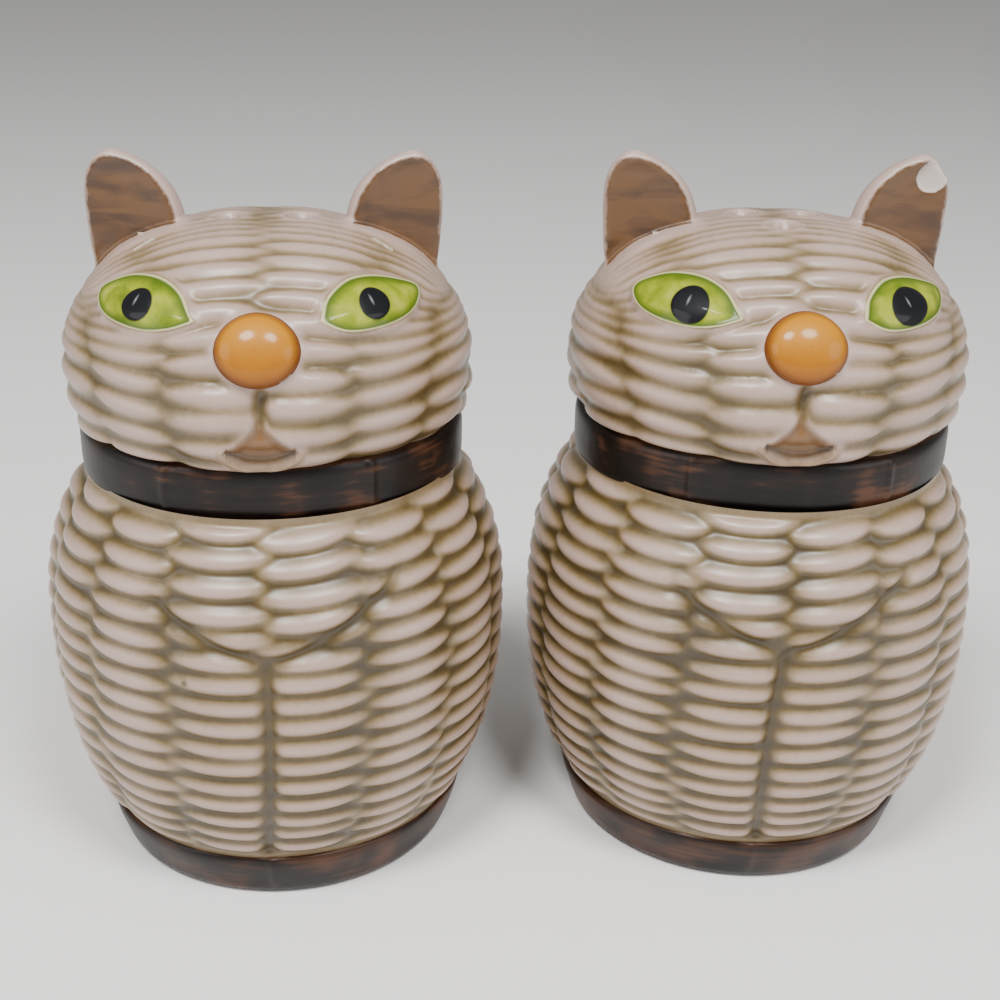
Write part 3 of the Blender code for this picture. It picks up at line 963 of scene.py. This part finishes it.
def headPhase(points):
    look = headLook
    front = points[:, 1] < 0
    low = smooth(79, 74, points[:, 2])   # only the muzzle's pillows end square
    middle, outward, outermost = look["pitches"]

    def phase(column, local):
        shift = np.where(np.mod(column, 2) == 0, bodyLook["stagger"], 0.0)
        for which, value in look["frontStagger"].items():
            shift = np.where(front & (column == which), value, shift)
        outer = np.abs(column + 0.5)
        pitch = np.where(outer < 2, middle, np.where(outer < 3, outward, outermost))
        blunt = low * front * (np.where(column == -1, 1.0, 0.0) - np.where(column == 0, 1.0, 0.0))
        return shift, pitch, 0.0, column + np.where(front, 0, 40), blunt
    return phase


def headRows(points):  # counts strands up and over the head, and degrees away from its middle plane
    x, y, z = points.T
    neck = castForm["collarTop"] + 0.5
    spread = (0.5 + 0.5 * smooth(12, 24, np.abs(x))) * (1 - smooth(74, 84, z))
    rise = np.degrees(np.arctan2(z - neck, np.sqrt(y ** 2 + spread * x ** 2)))
    side = np.degrees(np.arctan2(x, np.hypot(y, z - neck)))
    return np.interp(rise, headLook["strandRise"], headLook["strandRows"]), side


# Gives mm inside the edge of the open mouth, of the painted shade along its lower line, of the painted light
# on its roof and of the lip.
def mouthFields(x, z, front):
    look = headLook
    reach = np.clip(np.abs(x) / look["mouthHalf"], 0, 1)
    high = look["mouthLow"] + (look["mouthTop"] - look["mouthLow"]) * (1 - reach) ** look["mouthPower"]
    low = look["mouthLow"] - look["mouthSag"] * (1 - reach ** 2)
    outside = -9.0
    gape = np.where(front & (reach < 1), np.minimum(high - z, z - low) * 0.8, outside)
    line = np.where(front & (reach < 1), look["lineHalf"] - np.abs(z - low - look["lineLift"]), outside)
    stretch, level, half = look["roof"]
    roof = np.where(front, half - np.hypot(x / stretch, z - level + 0.06 * x ** 2), outside)
    away = x / look["lipHalf"]
    lip = np.minimum(low - z, z - look["lipLow"] - look["lipCurve"] * away ** 2)
    return gape, line, roof, np.where(front & (np.abs(away) < 1.1), lip, outside)


def earFields(points):  # how much of a point belongs to an ear, and mm inside the ear's paint
    x, y, z = points.T
    belongs = np.zeros(len(points))
    paint = np.full(len(points), -9.0)
    ahead = y - earLook["setBack"]
    share = (z - earLook["root"]) / earLook["reach"]
    middle, half = earAt(np.clip(share, 0, 1))
    for sign in (-1, 1):
        outward = sign * x - middle
        near = smooth(1.6, -0.6, np.abs(outward) - half) * smooth(0.05, 0.3, share)
        belongs = np.maximum(belongs, near * smooth(5.5, 3.5, np.abs(ahead)))
        face, skin = earDepths(outward, half)
        inside = np.minimum((face - skin) * 0.9, ahead - face + 0.7)
        inside = np.minimum(inside, np.minimum(0.3 - ahead + face, half - np.abs(outward) - 0.3))
        onEar = (share > 0) & (share < 1) & (np.abs(outward) < half)
        paint = np.maximum(paint, np.where(onEar, np.clip(inside, -9, 3), -9.0))
    return belongs, paint


def headRelief(points, normals, faces, shaker):
    look, form = headLook, castForm
    x, y, z = points.T
    front = y < 0
    upper = z > 78          # above the muzzle
    eyes = np.full(len(points), 99.0)
    rows, side = headRows(points)
    for name, sign in (("left", -1), ("right", 1)):
        gap = eyeGap(points, name)
        eyes = np.minimum(eyes, gap)
        centre = onHead(np.array([sign * eyeShape["turn"]]), np.array([eyeShape["level"]]))
        middle = headRows(centre)[0][0]
        crowding = look["eyeCrowding"] * np.exp(-np.maximum(gap, 0) / look["crowdingReach"])
        rows = middle + (rows - middle) * (1 - crowding)
    nose = noseGap(points)
    beside = x - look["philtrumTurn"]
    wide = look["columnAngle"] + (look["foreheadAngle"] - look["columnAngle"]) * smooth(7, 10, rows)
    height = weave(side / wide, rows, headPhase(points), shaker["seed"] + 20, look["fatness"])
    height = height * (1 - bell(beside, 0.8) * front * (z < 78) * smooth(0.0, 1.0, 76.8 - z))

    ears, earPaint = earFields(points)
    crown = smooth(90.2, 91.3, z) * (np.abs(x) < 14)
    holes = np.full(len(points), 99.0)
    for hx, hy in shaker["holes"]:
        holes = np.minimum(holes, np.hypot(x - hx, y - hy) - look["holeRadius"])
    cx, cy, cz, chipSize = look["chip"]
    chip = chipSize - np.sqrt((x - cx) ** 2 + ((y - cy) * 0.5) ** 2 + (z - cz) ** 2)
    chip = np.where(shaker["chip"], chip, -9.0)

    # The weave fades where eyes, nose, ears, holes and mouth stand in it.
    calm = smooth(*look["eyeFade"], eyes) * smooth(*look["noseFade"], nose) * (1 - ears)
    calm = calm * smooth(*look["holeFade"], holes)
    turn = np.degrees(np.arctan2(x, -y / form["headSquash"]))
    aside = (np.abs(turn) - look["muzzleTurn"]) * look["muzzleArc"]
    muzzle = bell(aside, look["muzzleSpread"]) * bell(z - look["muzzleLevel"], look["muzzleSpread"]) * front
    gape, line, roof, lip = mouthFields(x, z, front)
    calm = calm * smooth(0.0, 1.0, -np.maximum(gape, lip))
    height = relaxed(height * calm + (1 - calm), faces, look["soften"])
    carved = relaxed(height, faces, look["soften"])
    relief = look["relief"] * (1 - 0.35 * smooth(84, 90, z)) * (1 - 0.25 * crown)
    start, full, fading, end = look["philtrum"]
    philtrum = bell(beside, 1.0) * smooth(start, full, z) * (1 - smooth(fading, end, z)) * front

    out = look["proud"] + relief * (carved - 1) + look["muzzleBulge"] * muzzle
    out = out - look["mouthDepth"] * smooth(-1.0, 1.4, gape) + look["roofHeight"] * smooth(-0.4, 1.0, roof)
    out = out - look["lineDepth"] * smooth(-0.4, 0.4, line) + look["lipHeight"] * smooth(-0.6, 1.2, lip)
    out = out - look["philtrumDepth"] * philtrum + look["lidRidge"] * bell(eyes - 0.35, 0.55) * upper
    out = out - look["holeDip"] * bell(holes, 0.5) * (z > 80)
    out = out - look["chipDepth"] * smooth(0.0, 0.3, chip) - look["hemTuck"] * smooth(65.2, 63.8, z)

    pool = (1 - height) ** look["poolPower"] * (look["poolDepth"] - look["poolLess"] * smooth(78, 88, z))
    for extra in (0.8 * philtrum, 0.40 * bell(np.maximum(gape, lip), 0.7) * front,
                  0.5 * bell(eyes - 0.1, 0.5) * upper, 0.5 * bell(z - 64.6, 0.7) * (1 - ears)):
        pool = np.maximum(pool, extra)
    # painted shade: the walls of the pour holes take the darkest pooled tone
    pool = np.where((holes < 0.0) & (z > 80), 1.0, pool)
    # Two of these masks carry painted light and shade: the dark line above the lip and the paler roof of the
    # mouth.
    values = {"pool": pool, "ear": earPaint, "mouth": gape, "mouthDark": line, "tongue": roof, "lip": lip,
              "chip": chip}
    values = {name: np.clip(value, -3, 3) for name, value in values.items()}
    points = points + normals * out[:, None]
    points[:, 2] -= look["holeDepth"] * smooth(0.18, -0.18, holes) * (z > 80)
    return points, values


def makeHead(key):
    shaker = shakers[key]
    points, faces = remeshedHead()
    normals = relaxed(normalsOf(points, faces), faces, headLook["normalSoften"])
    normals = normals / np.linalg.norm(normals, axis=1, keepdims=True)
    points, values = headRelief(points, normals, faces, shaker)
    middle = points[faces].mean(1)
    keep = middle[:, 2] > headLook["hem"]
    reach, low, high = headLook["holeCut"]
    for x, y in shaker["holes"]:
        near = np.hypot(middle[:, 0] - x, middle[:, 1] - y) < reach
        keep &= ~(near & (middle[:, 2] < high) & (middle[:, 2] > low))
    faces = faces[keep]
    used = np.unique(faces)
    index = np.full(len(points), -1)
    index[used] = np.arange(len(used))
    values = {name: value[used] for name, value in values.items()}
    addPiece(key + "_head", key, points[used], index[faces], painted, values)
    print(key, "head cast,", len(faces), "faces")


def domePatch(rings, spokes):  # shares and angles of a round patch, its faces and its sunk outer ring
    share = np.concatenate([np.linspace(0.01, 1, rings), [1.03, 1.03]])
    angle = np.arange(spokes) / spokes * 2 * math.pi
    share, angle = [grid.ravel() for grid in np.meshgrid(share, angle, indexing="ij")]
    faces = gridFaces(rings + 2, spokes)[:, ::-1]
    return share, angle, faces, np.arange(len(share)) >= (rings + 1) * spokes


def makeEye(key, name):
    shaker, shape = shakers[key], eyeShape
    sign = -1 if name == "left" else 1
    share, angle, faces, last = domePatch(shape["rings"], shape["spokes"])
    edge = shape[name + "Radius"](angle)
    u, v = share * edge * np.cos(angle), share * edge * np.sin(angle)
    level = shape["level"]
    slope = headRadius(level + 0.5) - headRadius(level - 0.5)
    z = level + v / math.hypot(slope, 1)
    turn = sign * shape["turn"] + np.degrees(u / headRadius(level))
    inset = (1 - share) * edge
    px, py, long, short, tilt = shaker["pupils"][name]
    tilt = math.radians(tilt)
    along = (u - px) * math.cos(tilt) + (v - py) * math.sin(tilt)
    across = (v - py) * math.cos(tilt) - (u - px) * math.sin(tilt)
    pupil = (1 - np.hypot(along / long, across / short)) * short
    lift = shape["proud"] + shape["rim"] * bell(inset, 0.6) * smooth(0.4, 0.8, share)
    lift = lift + shape["relief"] * (1 - share ** shape["roundness"])
    lift = relaxed(lift, faces, shape["soften"]) + shape["pupilRise"] * smooth(-0.3, 0.5, pupil)
    lift = np.where(last, -1.0, lift)
    points = onHead(turn, z, lift)
    # painted highlight: a pale streak across the pupil, a little above and beside its middle
    glint = 0.13 - np.hypot(u - px + 0.3, (v - py - 0.45) * 0.25)
    values = {"edge": inset, "pupil": pupil, "glint": glint, "pool": np.zeros(len(u))}
    addPiece("%s_eye_%s" % (key, name), key, points, faces, green, values)


def makeNose(key):
    shape = noseShape
    share, angle, faces, last = domePatch(shape["rings"], shape["spokes"])
    u, v = share * shape["halfWidth"] * np.cos(angle), share * shape["halfHeight"] * np.sin(angle)
    u = u * (1 + shape["widening"] * np.sin(angle))
    z = shape["level"] + v
    turn = np.degrees(u / headRadius(shape["level"]))
    dome = np.sqrt(np.clip(1 - np.minimum(share, 1) ** shape["roundness"], 0, 1))
    lift = np.where(last, -1.0, shape["proud"] + shape["relief"] * dome)
    points = onHead(turn, z, lift)
    # rise and edge set where the nose is painted lighter on top and darker low down and at its rim
    values = {"rise": (v / shape["halfHeight"] + 1) / 2, "edge": (1 - share) * shape["halfHeight"]}
    addPiece(key + "_nose", key, points, faces, orange, values)


bandLook = {
    "steps": 480,
    "collarSeams": (-29.0, 31.0),
    "footSeams": (-2.0,),
    "seamWidth": 0.55,
    "seamHeight": 0.25,
    "arc": 0.46,             # mm to a degree round the bands
    "rings": 0.3,            # mm between rings
    "soften": 3,
    "ripples": ((0.10, 5, 1), (0.06, 11, 0)),   # mm, waves round the band, share of the seed
    "footRing": 20.4,
    "collarShape": [(-1.6, 57.0), (-0.6, 57.4), (-0.1, 57.9), (0.0, 59.5), (0.0, 63.0), (-0.2, 64.2),
                    (-0.8, 64.7), (-1.8, 64.8)],
}


def makeBand(key, name, profile, squash, seams, material, wave, weightOf):
    shaker, look = shakers[key], bandLook
    steps = look["steps"]
    profile = np.array(profile, float)
    lengths = np.concatenate([[0], np.cumsum(np.hypot(*np.diff(profile, axis=0).T))])
    along = np.linspace(0, lengths[-1], int(lengths[-1] / look["rings"]))
    r, z = np.interp(along, lengths, profile[:, 0]), np.interp(along, lengths, profile[:, 1])
    for _ in range(look["soften"]):
        r[1:-1] = (r[:-2] + 2 * r[1:-1] + r[2:]) / 4
        z[1:-1] = (z[:-2] + 2 * z[1:-1] + z[2:]) / 4
    turns = np.arange(steps) / steps * 360 - 180
    index, turn = [grid.ravel() for grid in np.meshgrid(np.arange(len(r)), turns, indexing="ij")]
    radius, level = r[index], z[index]
    weight = weightOf(level)
    ripple = sum(size * np.sin(np.radians(turn * waves + share * shaker["seed"]))
                 for size, waves, share in look["ripples"])
    out = radius + ripple * weight
    for seam in seams:
        out = out + look["seamHeight"] * bell((turn - seam) * look["arc"], look["seamWidth"]) * weight
    level = level + wave * weight * np.sin(np.radians(turn * 4 + 3 * shaker["seed"])) * 0.5
    angle = np.radians(turn)
    points = np.stack([out * np.sin(angle), -squash * out * np.cos(angle), level], 1)
    faces = gridFaces(len(r), steps)
    low, high = profile[:, 1].min(), profile[:, 1].max()
    values = {"along": turn * look["arc"], "across": along[index],
              "edge": np.minimum(high - level, level - low + 2)}
    addPiece(key + "_" + name, key, points, faces, material, values)


def makeCollar(key):
    profile = [(castForm["collarRadius"] + out, level) for out, level in bandLook["collarShape"]]
    makeBand(key, "collar", profile, castForm["headSquash"], bandLook["collarSeams"], collarPaint, 0.5,
             lambda z: smooth(57.0, 58.5, z))


def makeFoot(key):
    ring, foot, band = bandLook["footRing"], castForm["footRadius"], castForm["bandRadius"]
    profile = [(ring - 0.2, 3.6), (ring, 1.0), (21.0, 0.05), (23.6, 0.0), (foot + 0.1, 0.7),
               (band - 0.25, 5.2), (band + 0.05, 6.6), (band - 0.3, 7.2), (band - 1.6, 7.3)]
    makeBand(key, "foot_band", profile, 1.0, bandLook["footSeams"], footPaint, 0.25,
             lambda z: smooth(0.5, 3.0, z))


liningCut = {
    "holeReach": 2.0,
    "holeTop": 88.2,
    "crown": 89,
    "floor": 3.3,
    "wall": 1.9,             # faces nearer than this to the outside belong to it
    "headFrom": 59.5,
    "squashFrom": 57.5,
}


def makeLining(key):  # the cast inside, taken from the solid it belongs to
    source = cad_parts[key + "_shaker_body"].data
    shaker, look = shakers[key], liningCut
    points = np.empty(len(source.vertices) * 3, np.float32)
    source.vertices.foreach_get("co", points)
    points = points.reshape(-1, 3) / mm
    angle = math.radians(shaker["yaw"])
    x, y = points[:, 0] - shaker["axis"][0], points[:, 1] - shaker["axis"][1]
    local = np.stack([x * math.cos(angle) + y * math.sin(angle), -x * math.sin(angle) + y * math.cos(angle),
                      points[:, 2]], 1)
    chosen = []
    for face in source.polygons:
        x, y, z = local[list(face.vertices)].mean(0)
        overHole = any(math.hypot(x - hx, y - hy) < look["holeReach"] for hx, hy in shaker["holes"])
        squash = castForm["headSquash"] if z > look["squashFrom"] else 1
        edge = float(headRadius(z) if z > look["headFrom"] else bodyRadius(z))
        inWall = math.hypot(x, y / squash) > edge - look["wall"]
        if z < look["floor"] or z > look["crown"] or (overHole and z > look["holeTop"]) or inWall:
            continue
        chosen.append([int(v) for v in face.vertices])
    mesh = bpy.data.meshes.new(key + "_lining")
    used = sorted({v for face in chosen for v in face})
    index = {v: i for i, v in enumerate(used)}
    faces = [[index[v] for v in face] for face in chosen]
    mesh.from_pydata([tuple(points[v] * mm) for v in used], [], faces)
    mesh.shade_smooth()
    joinShaker(key + "_lining", key, mesh, bare)


for key in shakers:
    makeBody(key)
    makeHead(key)
    for name in ("left", "right"):
        makeEye(key, name)
    makeNose(key)
    makeCollar(key)
    makeFoot(key)
    makeLining(key)
    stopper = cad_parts[key + "_stopper"]
    stopper.data.materials.clear()
    stopper.data.materials.append(plug)
    print(key, "shaker finished")


studio = {
    "floor": "#F2F0EE",
    "floorHalf": 3,
    "floorRoughness": 0.9,
    "air": "#FFFFFF",
    "airStrength": 0.34,
    "lamps": [
        # place, size, watts
        ((-0.17, -0.32, 0.62), 0.20, 4.2),
        ((0.17, -0.32, 0.62), 0.20, 3.6),
        ((-0.65, -0.35, 0.30), 0.45, 1.6),
        ((0.65, -0.35, 0.30), 0.45, 1.6),
    ],
    "aim": (0.0, 0.0, 0.05),
    "camera": (-0.00245, -0.20075, 0.1350),
    "pitch": 23.05,
    "roll": 1.22,
    "lens": 53.96,
}


def makeStudio():
    scene = bpy.context.scene
    mesh = bpy.data.meshes.new("floor")
    half = studio["floorHalf"]
    corners = [(-half, -half, 0), (half, -half, 0), (half, half, 0), (-half, half, 0)]
    mesh.from_pydata(corners, [], [(0, 1, 2, 3)])
    material, _, shader = startMaterial("paperBackdropPale")   # uncoated paper: even and matt
    shader.inputs["Base Color"].default_value = toLinear(studio["floor"])
    shader.inputs["Roughness"].default_value = studio["floorRoughness"]
    mesh.materials.append(material)
    floor = bpy.data.objects.new("floor", mesh)
    scene.collection.objects.link(floor)
    world = bpy.data.worlds.new("softStudio")
    world.use_nodes = True
    background = world.node_tree.nodes["Background"]
    background.inputs[0].default_value = toLinear(studio["air"])
    background.inputs[1].default_value = studio["airStrength"]
    scene.world = world
    for i, (place, size, watts) in enumerate(studio["lamps"]):
        light = bpy.data.lights.new("softbox%d" % i, "AREA")
        light.shape = "DISK"
        light.size = size
        light.energy = watts
        lamp = bpy.data.objects.new("softbox%d" % i, light)
        lamp.location = place
        lamp.rotation_euler = (lamp.location - Vector(studio["aim"])).to_track_quat("Z", "Y").to_euler()
        scene.collection.objects.link(lamp)
    camera = bpy.data.cameras.new("camera")
    camera.lens = studio["lens"]
    camera.sensor_width = 36
    camera.clip_start = 0.01
    viewer = bpy.data.objects.new("camera", camera)
    tilt = Matrix.Rotation(math.radians(90 - studio["pitch"]), 4, "X")
    roll = Matrix.Rotation(math.radians(studio["roll"]), 4, "Z")
    viewer.matrix_world = Matrix.Translation(studio["camera"]) @ (tilt @ roll)
    scene.collection.objects.link(viewer)
    scene.camera = viewer


makeStudio()
print("studio lit")
